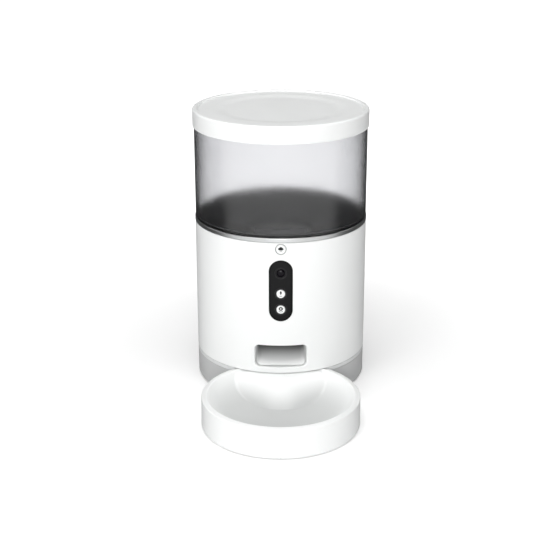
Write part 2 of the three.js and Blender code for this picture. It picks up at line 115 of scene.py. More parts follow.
FEED_Z = middle("feed_button")[2]
RING_R = span("upper_button_ring")[1][0]
FEED_RING_R = span("feed_button_ring")[1][0]
BUTTON_R = span("upper_button")[1][0]
FEED_R = span("feed_button")[1][0]
WINDOW_HALF = 29.4
WINDOW_Z0 = 40.1
WINDOW_Z1 = 66.4
CHUTE_MOUTH = 27.0
CHUTE_END = 92.9
CHUTE_LOW = WINDOW_Z0 + 1.5
CHUTE_TOP = WINDOW_Z1 - 0.45
CHUTE_HALF = 23.6
FULLY_ROUND = 20
PANEL_FACE_R = 94.7
PANEL_RIM_R = 94.85
PANEL_BACK_R = 92.5
GRILLE_R = 94.8
GRILLE_HALF = 22
GRILLE_Z0 = 112
GRILLE_Z1 = 148
GRILLE_CORNER = 6
SOCKET_Z = 16
WHEEL_Z0 = 122
WHEEL_Z1 = 158
SHELL_COLUMNS = 144
SHELL_ROWS = 26
SHELL_ROUNDING = 0.5

# ---- materials ----

CLOUDS = 14.0
PATCHES = 60.0
TEXTURE_RANGE = (0.3, 0.7)
FINE_GRAIN = {"spread": 0.006, "grain": 1500.0, "depth": 0.0000012}


def set_values(node, **values):
    for socket, value in values.items():
        node.inputs[socket.replace("_", " ")].default_value = value


def add_node(tree, kind, **values):
    """A new node with values on its sockets."""
    node = tree.nodes.new(kind)
    set_values(node, **values)
    return node


def ranged(tree, value, low, high, to_low, to_high, shape="SMOOTHSTEP"):
    """A value mapped from one range to another."""
    spread = add_node(tree, "ShaderNodeMapRange", From_Min=low, From_Max=high, To_Min=to_low, To_Max=to_high)
    spread.interpolation_type = shape
    tree.links.new(value, spread.inputs["Value"])
    return spread.outputs["Result"]


def shader(name, color, roughness, metallic=0.0, **sockets):
    """A principled material whose colour and roughness are then varied by textures."""
    material = bpy.data.materials.new(name)
    material.use_nodes = True
    bsdf = material.node_tree.nodes["Principled BSDF"]
    set_values(bsdf, Base_Color=(*color, 1), Roughness=roughness, Metallic=metallic, **sockets)
    return material


def noise(material, scale, detail=4.0, stretch=(1, 1, 1)):
    """A noise texture in the object's own coordinates, scale in lumps per metre."""
    tree = material.node_tree
    place = add_node(tree, "ShaderNodeTexCoord")
    mapping = add_node(tree, "ShaderNodeMapping", Scale=stretch)
    texture = add_node(tree, "ShaderNodeTexNoise", Scale=scale, Detail=detail)
    tree.links.new(place.outputs["Object"], mapping.inputs["Vector"])
    tree.links.new(mapping.outputs["Vector"], texture.inputs["Vector"])
    return texture.outputs["Fac"]


def vary_color(material, factor, low, high):
    """Runs the base colour from low to high with a texture."""
    tree = material.node_tree
    ramp = add_node(tree, "ShaderNodeValToRGB")
    for element, position, color in zip(ramp.color_ramp.elements, TEXTURE_RANGE, (low, high)):
        element.position = position
        element.color = (*color, 1)
    tree.links.new(factor, ramp.inputs["Fac"])
    tree.links.new(ramp.outputs["Color"], tree.nodes["Principled BSDF"].inputs["Base Color"])


def vary_roughness(material, factor, low, high):
    """Runs the roughness from low to high with a texture."""
    tree = material.node_tree
    spread = ranged(tree, factor, *TEXTURE_RANGE, low, high, "LINEAR")
    tree.links.new(spread, tree.nodes["Principled BSDF"].inputs["Roughness"])


def bump(material, factor, depth):
    """A fine relief, depth in metres."""
    tree = material.node_tree
    relief = add_node(tree, "ShaderNodeBump", Strength=1.0, Distance=depth)
    tree.links.new(factor, relief.inputs["Height"])
    tree.links.new(relief.outputs["Normal"], tree.nodes["Principled BSDF"].inputs["Normal"])


def moulded(name, color, roughness, spread=0.02, grain=900.0, depth=0.00001, **sockets):
    """Moulded plastic: faint cloudiness, uneven gloss and a very fine grain."""
    material = shader(name, color, roughness, **sockets)
    low = tuple(max(0.0, c - spread) for c in color)
    high = tuple(min(1.0, c + spread) for c in color)
    vary_color(material, noise(material, CLOUDS), low, high)
    vary_roughness(material, noise(material, PATCHES), roughness - 0.03, roughness + 0.04)
    bump(material, noise(material, grain, 2.0), depth)
    return material


def brushed(name, color, roughness, stretch, **sockets):
    """Metal with fine scratches drawn along one direction."""
    material = shader(name, color, roughness, 1.0, **sockets)
    scratches = noise(material, 500.0, 3.0, stretch)
    low = tuple(c * 0.93 for c in color)
    vary_color(material, scratches, low, color)
    vary_roughness(material, scratches, roughness - 0.06, roughness + 0.08)
    bump(material, scratches, 0.000004)
    return material


def painted_depth_shade(name, lit_color, shaded_color, axis, near, far, roughness):
    """Moulded plastic with painted shade: its colour darkens along X, Y or Z, from near to far, in
    millimetres in the row frame.
    """
    material = moulded(name, lit_color, roughness, **FINE_GRAIN)
    tree = material.node_tree
    place = add_node(tree, "ShaderNodeTexCoord")
    split = add_node(tree, "ShaderNodeSeparateXYZ")
    tree.links.new(place.outputs["Object"], split.inputs["Vector"])
    # depth here is how far the painted shade has gone: 0 at near, 1 at far
    depth = ranged(tree, split.outputs[axis], near * MM, far * MM, 0.0, 1.0)
    mix = add_node(tree, "ShaderNodeMix")
    mix.data_type = "RGBA"
    mix.inputs["B"].default_value = (*shaded_color, 1)
    base = tree.nodes["Principled BSDF"].inputs["Base Color"]
    tree.links.new(depth, mix.inputs["Factor"])
    tree.links.new(base.links[0].from_socket, mix.inputs["A"])
    tree.links.new(mix.outputs["Result"], base)
    return material


def smoky_clear():
    """Clear plastic with a smoky tint that deepens with the thickness looked through."""
    material = shader("tank_smoky_clear", (1, 1, 1), 0.14, IOR=1.48, Transmission_Weight=1.0)
    vary_color(material, noise(material, 10.0), (0.985, 0.985, 0.99), (1, 1, 1))
    vary_roughness(material, noise(material, 40.0), 0.15, 0.19)
    bump(material, noise(material, 1500.0, 2.0), 0.000004)
    tree = material.node_tree
    absorb = add_node(tree, "ShaderNodeVolumeAbsorption", Color=(0.5, 0.505, 0.53, 1), Density=190.0)
    tree.links.new(absorb.outputs["Volume"], tree.nodes["Material Output"].inputs["Volume"])
    return material


WHITE = moulded("white_gloss", (0.86, 0.87, 0.865), 0.34, **FINE_GRAIN)
BOWL_WHITE = moulded("bowl_white", (0.86, 0.87, 0.865), 0.33, **FINE_GRAIN)
# Painted shade in the bowl: the inside's colour darkens from near the rim down to the floor.
BOWL_PAINTED_SHADE = painted_depth_shade("bowl_painted_shade", (0.88, 0.89, 0.885), (0.6, 0.61, 0.605), "Z", 31.0, 7.0, 0.33)
INNER_WHITE = moulded("inner_white", (0.74, 0.745, 0.74), 0.45)
SMOKY = smoky_clear()
DARK = moulded("dark_satin", (0.062, 0.063, 0.064), 0.5, 0.005)
# Painted light: barrel and wheel are a lighter grey than their dark plastic, so the shaded throat under the
# tank looks as light as the lit funnel.
PAINTED_LIGHT_GREY = moulded("barrel_grey_painted_light", (0.42, 0.423, 0.425), 0.5)
FROSTED = moulded("frosted_grey", (0.53, 0.535, 0.535), 0.5, 0.012, 1400.0, 0.00002)
# The base ring's top band is its frosted grey painted paler: a painted highlight for light caught at the
# ring's top edge.
FROSTED_PAINTED_LIGHT = moulded("frosted_band_painted_light", (0.67, 0.68, 0.68), 0.45, 0.012)
GREY = moulded("satin_grey", (0.4, 0.41, 0.41), 0.5)
BLACK_GLOSS = moulded("panel_black", (0.0085, 0.0085, 0.009), 0.33, 0.002, 900.0, 0.000003,
                      Specular_IOR_Level=0.11)
EDGE_BLACK = moulded("panel_edge", (0.004, 0.004, 0.004), 0.33, 0.001, Specular_IOR_Level=0.1)
# Painted shade in the chute: white at the window's lip, darkening to near black deeper inside the recess.
CHUTE_PAINTED_SHADE = painted_depth_shade("chute_painted_shade", (0.87, 0.88, 0.875), (0.09, 0.092, 0.092), "Y", -24.0, -2.0, 0.4)
LENS = moulded("lens_glass", (0.003, 0.002, 0.004), 0.14, 0.001, 400.0, 0.000001,
               Specular_IOR_Level=0.14)
RING_BLACK = moulded("ring_black", (0.017, 0.017, 0.018), 0.5, 0.002, Specular_IOR_Level=0.2)
BLACK_SATIN = moulded("black_satin", (0.02, 0.02, 0.022), 0.5, 0.004)
INK = moulded("icon_ink", (0.01, 0.01, 0.01), 0.5, 0.002)
RUBBER = moulded("rubber", (0.03, 0.03, 0.032), 0.85, 0.006, 1800.0, 0.00004)
SEAL = moulded("seal_silicone", (0.5, 0.5, 0.5), 0.6, 0.015)
SILVER = brushed("satin_silver", (0.62, 0.63, 0.63), 0.3, (1, 1, 60))
STEEL = brushed("plated_steel", (0.55, 0.56, 0.57), 0.35, (40, 1, 1))
BRASS = brushed("brass", (0.72, 0.55, 0.27), 0.3, (1, 1, 30))
BOARD = moulded("board_green", (0.02, 0.13, 0.06), 0.4, 0.01, 700.0, 0.00002)

SLOT_LOOKS = {
    "white_gloss": WHITE,
    "white_plastic": INNER_WHITE,
    "smoky_clear": SMOKY,
    "dark_plastic": DARK,
    "seal_grey": SEAL,
    "satin_metal": SILVER,
    "frosted_grey": FROSTED,
    "grey_plastic": GREY,
    "black_rubber": RUBBER,
    "steel": STEEL,
    "brass": BRASS,
    "black_gloss": BLACK_GLOSS,
    "black_plastic": BLACK_SATIN,
    "circuit_board": BOARD,
}

# ---- mesh helpers ----


def to_row(point):
    """A point about the tower's axis in millimetres, in row-frame metres."""
    return (point[0] * MM, (point[1] + AXIS_BACK) * MM, point[2] * MM)


def loft(rings, close_rings):
    """Quads between rings of equal length; close_rings joins the last ring to the first."""
    count = len(rings[0])
    points = [p for ring in rings for p in ring]
    faces = []
    spans = len(rings) if close_rings else len(rings) - 1
    for i in range(spans):
        a = i * count
        b = ((i + 1) % len(rings)) * count
        for j in range(count):
            k = (j + 1) % count
            faces.append((a + j, a + k, b + k, b + j))
    return points, faces


def prism(rings):
    """A loft with its first and last rings closed by a face each."""
    points, faces = loft(rings, False)
    count = len(rings[0])
    last = len(points) - count
    return points, faces + [tuple(range(count)), tuple(range(last, len(points)))]


def join(points, faces, more):
    """Adds a mesh, as points and faces, to the one being gathered."""
    more_points, more_faces = more
    base = len(points)
    points.extend(more_points)
    faces.extend(tuple(base + i for i in face) for face in more_faces)


def ellipse(x, y, rx, ry, steps):
    return [(x + rx * math.cos(TURN * k / steps), y + ry * math.sin(TURN * k / steps)) for k in range(steps)]


def circle(r, y=0.0):
    return ellipse(0, y, r, r, CIRCLE_STEPS)


def arc(steps, degrees=90):
    return [math.radians(degrees * k / steps) for k in range(steps + 1)]


def new_object(name, points, faces, merge):
    """A mesh object with its faces turned outwards; merge joins points that lie together."""
    mesh = bpy.data.meshes.new(name)
    mesh.from_pydata([to_row(p) for p in points], [], faces)
    work = bmesh.new()
    work.from_mesh(mesh)
    if merge:
        bmesh.ops.remove_doubles(work, verts=work.verts, dist=1e-7)
        bmesh.ops.dissolve_degenerate(work, edges=work.edges, dist=1e-8)
    bmesh.ops.recalc_face_normals(work, faces=work.faces)
    work.to_mesh(mesh)
    work.free()
    obj = bpy.data.objects.new(name, mesh)
    bpy.context.scene.collection.objects.link(obj)
    return obj


def piece(name, points, faces, material, body, replaced=(), sharp=None):
    """A closed smooth mesh that rides on a body."""
    obj = new_object(name, points, faces, True)
    obj.data.materials.append(material)
    obj.data.shade_smooth()
    if sharp is not None:
        obj.data.set_sharp_from_angle(angle=math.radians(sharp))
    obj.modifiers.new("even_shading", "WEIGHTED_NORMAL").keep_sharp = True
    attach(obj, body)
    if replaced:
        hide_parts(*replaced)
    return obj


def soften(corners, steps=5, closed=True):
    """Rounds the corners of a profile; a corner is (a, b) or (a, b, radius)."""
    result = []
    count = len(corners)
    for i, corner in enumerate(corners):
        here = Vector(corner[:2])
        radius = corner[2] if len(corner) > 2 else 0.0
        if radius <= 0 or (not closed and i in (0, count - 1)):
            result.append(tuple(here))
            continue
        before = (Vector(corners[i - 1][:2]) - here).normalized()
        after = (Vector(corners[(i + 1) % count][:2]) - here).normalized()
        half = before.angle(after) / 2
        reach = radius / math.tan(half)
        centre = here + (before + after).normalized() * (radius / math.sin(half))
        start = here + before * reach - centre
        end = here + after * reach - centre
        sweep = start.angle_signed(end)
        for k in range(steps + 1):
            angle = -sweep * k / steps
            cos, sin = math.cos(angle), math.sin(angle)
            turned = Vector((start.x * cos - start.y * sin, start.x * sin + start.y * cos))
            result.append(tuple(centre + turned))
    return result


def turned(name, profile, material, body, replaced=(), slot=None, x=0.0, y=0.0, steps=STEPS):
    """A profile of (radius, z) turned about a vertical axis at (x, y)."""
    closed = profile[0][0] > 0
    rings = [[(px, py, z) for px, py in ellipse(x, y, r, r, steps)] for r, z in profile]
    points, faces = loft(rings, closed)
    return piece(name, points, faces, material, body, replaced)


def turned_front(name, profile, material, body, z, replaced=()):
    """A profile of (radius, y) turned about an axis along Y at height z."""
    closed = profile[0][0] > 0
    rings = [[(px, y, pz) for px, pz in ellipse(0, z, r, r, FRONT_STEPS)] for r, y in profile]
    points, faces = loft(rings, closed)
    return piece(name, points, faces, material, body, replaced)


def carve(obj, shapes):
    """Cuts closed meshes out of a piece and removes them."""
    for shape in shapes:
        knife = obj.modifiers.new("cut", "BOOLEAN")
        knife.operation = "DIFFERENCE"
        knife.solver = "EXACT"
        knife.object = shape
    graph = bpy.context.evaluated_depsgraph_get()
    weighted = obj.modifiers.get("even_shading")
    weighted.show_viewport = False
    graph.update()
    cut = bpy.data.meshes.new_from_object(obj.evaluated_get(graph))
    for modifier in [m for m in obj.modifiers if m.type == "BOOLEAN"]:
        obj.modifiers.remove(modifier)
    weighted.show_viewport = True
    old = obj.data
    obj.data = cut
    bpy.data.meshes.remove(old)
    for shape in shapes:
        bpy.data.objects.remove(shape)


def cutter(rings):
    """A closed mesh used only to cut."""
    points, faces = prism(rings)
    return new_object("cutter", points, faces, False)


def upright_cutter(outline, z0, z1):
    """Cuts straight down through an outline in x and y."""
    return cutter([[(x, y, z) for x, y in outline] for z in (z0, z1)])


def box_cutter(x0, x1, y0, y1, z0, z1):
    return upright_cutter([(x0, y0), (x1, y0), (x1, y1), (x0, y1)], z0, z1)


def front_cutter(outline, y0, y1):
    """Cuts straight back through an outline in x and z."""
    return cutter([[(x, y, z) for x, z in outline] for y in (y0, y1)])


# ---- sheets that follow the tower's round wall ----


def rounded_rect(half, z0, z1, radius, steps=8):
    """Outline of (x, z) points, the same count for any size."""
    middle = (z0 + z1) / 2
    tall = (z1 - z0) / 2
    radius = min(radius, half - 0.01, tall - 0.01)
    points = []
    for side_x, side_z, start in ((1, -1, -90), (1, 1, 0), (-1, 1, 90), (-1, -1, 180)):
        for k in range(steps + 1):
            angle = math.radians(start + 90 * k / steps)
            x = side_x * (half - radius) + radius * math.cos(angle)
            z = middle + side_z * (tall - radius) + radius * math.sin(angle)
            points.append((x, z))
    return points


def dense(outline, step=3.0):
    """Adds points on the long straight stretches of a closed outline."""
    result = []
    for i, (x, z) in enumerate(outline):
        nx, nz = outline[(i + 1) % len(outline)]
        pieces = max(1, int(math.hypot(nx - x, nz - z) / step))
        for k in range(pieces):
            result.append((x + (nx - x) * k / pieces, z + (nz - z) * k / pieces))
    return result


def offset(outline, distance):
    """Moves an outline towards its inside by distance, point by point."""
    count = len(outline)
    result = []
    for i in range(count):
        a = Vector(outline[i - 1])
        b = Vector(outline[i])
        c = Vector(outline[(i + 1) % count])
        before = (b - a).normalized()
        after = (c - b).normalized()
        along = (before + after).normalized()
        inward = Vector((-along.y, along.x))
        slant = max(0.4, inward.dot(Vector((-before.y, before.x))))
        result.append(tuple(b + inward * distance / slant))
    return result


def inside(point, outline):
    """True if point is within a closed outline."""
    x, z = point
    hit = False
    for i in range(len(outline)):
        x0, z0 = outline[i - 1]
        x1, z1 = outline[i]
        if (z0 > z) != (z1 > z) and x < (x1 - x0) * (z - z0) / (z1 - z0) + x0:
            hit = not hit
    return hit


def on_wall(x, z, r, side):
    """The point at x and z on the front (side -1) or back (side 1) of a wall of radius r."""
    return (x, side * math.sqrt(r * r - x * x), z)


def wall_edge(outline, fillet, inward, r_out, r_in, side):
    """Rings of a plate's rounded edge, from its face to its back."""
    rings = []
    for angle in arc(4):
        shift = fillet * math.sin(angle) if inward else fillet * (1 - math.sin(angle))
        depth = fillet * (1 - math.cos(angle))
        rings.append([on_wall(x, z, r_out - depth, side) for x, z in offset(outline, shift)])
    last = offset(outline, fillet if inward else 0.0)
    for r in (r_in + 0.2, r_in):
        rings.append([on_wall(x, z, r, side) for x, z in last])
    return rings


def wall_sheet(name, rim, holes, r_out, r_in, material, body, replaced=(), side=-1, grid=2.5):
    """A plate on the round wall with rounded outer edges, seen from the front or the back.

    rim and holes are (outline, fillet) pairs in x and z. side is -1 for the front and 1 for the back.
    """
    outline, fillet = rim
    edges = [wall_edge(outline, fillet, False, r_out, r_in, side)]
    face_lines = [offset(outline, fillet)]
    back_lines = [outline]
    for hole, hole_fillet in holes:
        edges.append(wall_edge(hole, hole_fillet, True, r_out, r_in, side))
        face_lines.append(hole)
        back_lines.append(offset(hole, hole_fillet))
    points = []
    faces = []
    face_starts = []
    back_starts = []
    for rings in edges:
        face_starts.append(len(points))
        join(points, faces, loft(rings, False))
        back_starts.append(len(points) - len(rings[0]))
    for radius, lines, starts in ((r_out, face_lines, face_starts), (r_in, back_lines, back_starts)):
        spots, triangles = fill(lines, grid)
        index = []
        for start, line in zip(starts, lines):
            index += [start + i for i in range(len(line))]
        base = len(points) - len(index)
        points += [on_wall(x, z, radius, side) for x, z in spots[len(index):]]
        faces += [tuple(index[i] if i < len(index) else base + i for i in face) for face in triangles]
    sheet = piece(name, points, faces, material, body, replaced)
    face_outwards(sheet, [outline] + [hole for hole, _fillet in holes], (r_out + r_in) / 2)
    return sheet


def face_outwards(sheet, outlines, r_middle):
    """Turns every face of a wall sheet away from its material: rim first in outlines, then holes."""
    middles = []
    for outline in outlines:
        middles.append(Vector((sum(p[0] for p in outline), sum(p[1] for p in outline))) / len(outline))
    for face in sheet.data.polygons:
        x = face.center.x / MM
        y = face.center.y / MM - AXIS_BACK
        z = face.center.z / MM
        r = math.hypot(x, y)
        way = (face.normal.x * x + face.normal.y * y) / r
        if abs(way) > 0.8:
            wanted = 1 if r > r_middle else -1
        else:
            gaps = [min(math.hypot(x - px, z - pz) for px, pz in outline) for outline in outlines]
            nearest = gaps.index(min(gaps))
            way = face.normal.x * (middles[nearest].x - x) + face.normal.z * (middles[nearest].y - z)
            wanted = 1 if nearest > 0 else -1
        if way * wanted < 0:
            face.flip()
    sheet.data.update()


def closed_edges(first, count):
    return [(first + i, first + (i + 1) % count) for i in range(count)]


def triangulate(flat, edges, holes, rim=None):
    """Triangles through every point and edge, with none in a hole or outside the rim."""
    corners, _edges, triangles, *_rest = delaunay_2d_cdt(flat, edges, [], 0, 1e-6)
    kept = []
    for triangle in triangles:
        middle = sum((corners[i] for i in triangle), Vector((0, 0))) / 3
        in_hole = any(inside(middle, hole) for hole in holes)
        if not in_hole and (rim is None or inside(middle, rim)):
            kept.append(tuple(triangle))
    return corners, kept


def fill(outlines, grid):
    """Triangles between an outer outline and the holes in it, over a regular grid of points."""
    rim, *holes = outlines
    flat = []
    edges = []
    for outline in outlines:
        edges += closed_edges(len(flat), len(outline))
        flat += [Vector(p) for p in outline]
    xs = [p[0] for p in rim]
    zs = [p[1] for p in rim]
    clear_rim = offset(rim, grid * 0.4)
    clear_holes = [offset(hole, -grid * 0.4) for hole in holes]
    x = min(xs) + grid
    while x < max(xs):
        z = min(zs) + grid
        while z < max(zs):
            if inside((x, z), clear_rim) and not any(inside((x, z), hole) for hole in clear_holes):
                flat.append(Vector((x, z)))
            z += grid
        x += grid
    corners, kept = triangulate(flat, edges, holes, rim)
    return [tuple(c) for c in corners], kept


# A hole in a round wall: its outline on the outside face and the one its rounded edge leads to,
# both in x and z, how deep the rounding goes, its side (-1 front, 1 back) and the degrees it turns.
Hole = namedtuple("Hole", "outer inner depth side sweep")


def toward_inner(hole, part):
    """The hole's outline, part of the way from the outer to the inner one."""
    return [Vector(p) + (Vector(q) - Vector(p)) * part for p, q in zip(hole.outer, hole.inner)]


def inside_end(hole, thickness):
    """The outline where the hole's edge ends on the inside of the wall, running on straight."""
    turn = math.radians(hole.sweep)
    left = thickness - hole.depth * (1 - math.cos(turn))
    return toward_inner(hole, math.sin(turn) + left / (hole.depth * math.tan(turn)))


def hole_rings(hole, end, r_out, r_in):
    rings = []
    for a in arc(8, hole.sweep):
        r = r_out - hole.depth * (1 - math.cos(a))
        rings.append([on_wall(x, z, r, hole.side) for x, z in toward_inner(hole, math.sin(a))])
    rings.append([on_wall(x, z, r_in, hole.side) for x, z in end])
    return rings


def on_round(angle, z, r):
    """The point on a wall of radius r at an angle round it, in degrees from the front."""
    a = math.radians(angle)
    return (r * math.sin(a), -r * math.cos(a), z)


def unrolled(outline, r, side):
    """An outline on a wall of radius r laid out flat, as length round the wall and height."""
    result = []
    for x, z in outline:
        a = math.degrees(math.asin(x / r))
        angle = a if side < 0 else 180 - a
        result.append((angle * r * math.pi / 180, z))
    return result


def round_face(z0, z1, r, outlines):
    """Triangles all round a wall of radius r, open inside the outlines, which are laid out flat."""
    angles = [-90 + 360 * i / SHELL_COLUMNS for i in range(SHELL_COLUMNS + 1)]
    heights = [z0 + (z1 - z0) * k / SHELL_ROWS for k in range(SHELL_ROWS + 1)]
    clear = [grow(outline, 1.2) for outline in outlines]
    flat = [Vector((a * r * math.pi / 180, z)) for a in angles for z in heights]
    flat = [p for p in flat if not any(inside(p, c) for c in clear)]
    edges = []
    for outline in outlines:
        edges += closed_edges(len(flat), len(outline))
        flat += [Vector(p) for p in outline]
    corners, kept = triangulate(flat, edges, outlines)
    return [on_round(c[0] / r * 180 / math.pi, c[1], r) for c in corners], kept


def round_edge(z_edge, way, r_out, r_in):
    """Rings of a round wall's lower (way 1) or upper (way -1) edge, rounded on the outside."""
    angles = [-90 + 360 * i / SHELL_COLUMNS for i in range(SHELL_COLUMNS)]
    profile = []
    for a in arc(4):
        r = r_out - SHELL_ROUNDING * (1 - math.cos(a))
        profile.append((r, z_edge + way * SHELL_ROUNDING * (1 - math.sin(a))))
    profile.append((r_in, z_edge))
    return [[on_round(angle, z, r) for angle in angles] for r, z in profile]


def round_sheet(name, z0, z1, r_out, r_in, holes, material, body, replaced=()):
    """A closed round wall with holes, each a Hole."""
    points = []
    faces = []
    low = z0 + SHELL_ROUNDING
    high = z1 - SHELL_ROUNDING
    ends = [inside_end(hole, r_out - r_in) for hole in holes]
    outer_lines = [unrolled(hole.outer, r_out, hole.side) for hole in holes]
    inner_lines = [unrolled(end, r_in, hole.side) for hole, end in zip(holes, ends)]
    join(points, faces, round_face(low, high, r_out, outer_lines))
    join(points, faces, round_face(z0, z1, r_in, inner_lines))
    for hole, end in zip(holes, ends):
        join(points, faces, loft(hole_rings(hole, end, r_out, r_in), False))
    for z_edge, way in ((z0, 1), (z1, -1)):
        join(points, faces, loft(round_edge(z_edge, way, r_out, r_in), False))
    obj = piece(name, points, faces, material, body, replaced)
    radial_shading(obj, r_out, low, high)


def grow(outline, distance):
    """An outline widened about its middle, whichever way round its points run."""
    middle_x = sum(p[0] for p in outline) / len(outline)
    middle_z = sum(p[1] for p in outline) / len(outline)
    result = []
    for x, z in outline:
        away = Vector((x - middle_x, z - middle_z))
        away.normalize()
        result.append((x + away.x * distance, z + away.y * distance))
    return result


def radial_shading(obj, radius, z_low, z_high):
    """Gives the outside of a round wall the exact normals of its cylinder."""
    mesh = obj.data
    modifier = obj.modifiers.get("even_shading")
    if modifier:
        obj.modifiers.remove(modifier)
    normals = []
    for vertex in mesh.vertices:
        x = vertex.co.x / MM
        y = vertex.co.y / MM - AXIS_BACK
        z = vertex.co.z / MM
        if abs(math.hypot(x, y) - radius) < 0.002 and z_low - 0.01 < z < z_high + 0.01:
            normals.append(Vector((x, y, 0)).normalized())
        else:
            normals.append(vertex.normal.copy())
    mesh.normals_split_custom_set_from_vertices(normals)


# ---- lid and tank ----


def make_lid():
    dish = LID_Z1 - 2.9
    ledge = LID_Z1 - 1.5
    skirt = LID_R - 1.0
    ceiling = 302.9
    plug_out = 90.4
    plug_in = 88.4
    plug_z = 296
    profile = soften([
        (0, dish),
        (62, dish, 70),
        (72, ledge, 70),
        (89.4, ledge, 0.8),
        (91.0, LID_Z1, 0.8),
        (LID_R, LID_Z1, 2.2),
        (LID_R, LID_Z0, 0.5),
        (skirt, LID_Z0, 0.3),
        (skirt, ceiling, 0.4),
        (plug_out, ceiling),
        (plug_out, plug_z, 0.4),
        (plug_in, plug_z, 0.4),
        (plug_in, ceiling),
        (0, ceiling),
    ], closed=False)
    turned("lid_cap", profile, WHITE, "lid", ["lid"], "white_gloss")
    make_lid_inside()


def make_lid_inside():
    """The seal round the lid's plug, and the desiccant box under it."""
    seal = soften([
        (90.7, 296.5, 0.4),
        (91.8, 297.2, 0.3),
        (91.2, 298.4, 0.3),
        (91.8, 299.6, 0.3),
        (90.7, 300.5, 0.4),
    ])
    turned("lid_gasket", seal, SEAL, "lid", ["lid_seal"], "seal_grey")
    cup_out = 29.6
    cup_in = 27.6
    cup_z0 = 286.9
    cup_z1 = 302.6
    cup = soften([(cup_in, cup_z0, 0.3), (cup_out, cup_z0, 0.6), (cup_out, cup_z1), (cup_in, cup_z1)])
    turned("desiccant_cup", cup, INNER_WHITE, "lid", ["desiccant_box"], "white_plastic", steps=96)


def make_tank():
    shelf = FUNNEL_Z1 - 1.8
    seat = TRIM_Z1 + 0.3
    bore = TANK_R - TANK_WALL
    spigot = 90.9
    spigot_in = 88.5
    wall = soften([
        (TANK_R, TANK_Z1, 0.6),
        (bore, TANK_Z1, 0.6),
        (bore, shelf, 1.0),
        (spigot_in, shelf, 0.4),
        (spigot_in, TANK_Z0, 0.4),
        (spigot, TANK_Z0, 0.4),
        (spigot, seat, 0.2),
        (TANK_R, seat, 0.7),
    ])
    turned("tank_wall", wall, SMOKY, "tank", ["tank"], "smoky_clear")
    make_funnel(shelf)
    catch = dense(rounded_rect(27.5, FUNNEL_Z1 + 0.3, CATCH_Z1, 0.8, 4), 2.5)
    wall_sheet("catch_bar", (catch, 0.3), [], 91.9, 89.5, DARK, "tank", ["tank_catch"],
               grid=1.2)


def make_funnel(shelf):
    """The tank's sloping floor, which rests on the shelf and ends in a short throat."""
    rim = 91.9
    throat_in = 37.0
    throat_out = 38.5
    throat_z0 = 163.5
    throat_z1 = 172.4
    funnel = soften([
        (rim, shelf + 0.3, 0.3),
        (rim, FUNNEL_Z1, 0.4),
        (86.8, FUNNEL_Z1, 5),
        (throat_in, throat_z1, 6),
        (throat_in, throat_z0, 0.3),
        (throat_out, throat_z0, 0.3),
        (throat_out, throat_z1 - 1.0, 4),
        (87.2, shelf + 0.3, 4),
    ])
    turned("tank_funnel", funnel, DARK, "tank", ["tank_floor"], "dark_plastic")


# ---- tower ----


def mapped(outline, half, z0, z1):
    """The same outline stretched to another half width and height range."""
    wide = max(x for x, _z in outline)
    low = min(z for _x, z in outline)
    high = max(z for _x, z in outline)
    return [(x * half / wide, z0 + (z - low) * (z1 - z0) / (high - low)) for x, z in outline]


def make_shell():
    window = dense(rounded_rect(WINDOW_HALF, WINDOW_Z0, WINDOW_Z1, 5.5, 12), 1.5)
    chamfer = 0.8
    throat = mapped(window, WINDOW_HALF - chamfer, WINDOW_Z0 + 0.5, WINDOW_Z1 - 0.15)
    gap = 0.3
    panel = dense(rounded_rect(PANEL_HALF + gap, PANEL_LOW[2] - gap, PANEL_HIGH[2] + gap, FULLY_ROUND, 16))
    feed = circle(FEED_RING_R + 0.2, FEED_Z)
    grille = dense(rounded_rect(GRILLE_HALF, GRILLE_Z0, GRILLE_Z1, GRILLE_CORNER))
    holes = [
        Hole(window, throat, chamfer, -1, 45),
        Hole(panel, offset(panel, 0.22), 0.22, -1, 90),
        Hole(feed, offset(feed, 0.15), 0.15, -1, 90),
        Hole(grille, offset(grille, 0.3), 0.3, 1, 90),
    ]
    round_sheet("tower_shell", BODY_Z0, BODY_Z1, BODY_R, BODY_IN_R, holes, WHITE, "base",
                ["body_shell"])


def make_trim():
    inner = 91.2
    profile = soften([
        (inner, TRIM_Z0, 0.2),
        (TRIM_R, TRIM_Z0, 0.4),
        (TRIM_R, TRIM_Z1, 0.6),
        (inner, TRIM_Z1, 0.2),
    ])
    turned("silver_band", profile, SILVER, "base", ["trim_ring"], "satin_metal")


def make_deck():
    """The deck that carries the tank, with the notch for the control board."""
    hole = 46
    rim = 92.1
    low = 166.3
    high = 169.3
    profile = soften([(hole, low, 0.3), (rim, low), (rim, high), (hole, high, 0.8)])
    deck = turned("support_deck", profile, INNER_WHITE, "base", ["top_deck"], "white_plastic")
    carve(deck, [box_cutter(-24, 24, -94, -79.6, 165, 171)])


def make_pot():
    """The pot round the portion wheel, with its outlet and the hole for the shaft's bush."""
    floor = 118
    floor_top = 120.5
    wall_in = 42.6
    lip = 52
    lip_low = 163.2
    lip_high = 166
    pot = soften([
        (0, floor),
        (45, floor, 2),
        (45, lip_low, 1),
        (lip, lip_low, 0.4),
        (lip, lip_high, 0.4),
        (wall_in, lip_high, 0.6),
        (wall_in, floor_top, 2),
        (0, floor_top),
    ], closed=False)
    # painted light: lighter grey than the barrel's dark plastic, against the shade in the throat
    barrel = turned("portion_barrel", pot, PAINTED_LIGHT_GREY, "base", ["dispenser_pot"], "dark_plastic", steps=120)
    below = floor - 1
    bush_hole = upright_cutter(circle(7.6), below, WHEEL_Z0)
    carve(barrel, [box_cutter(-22, 22, -41, -22, below, WHEEL_Z0), bush_hole])


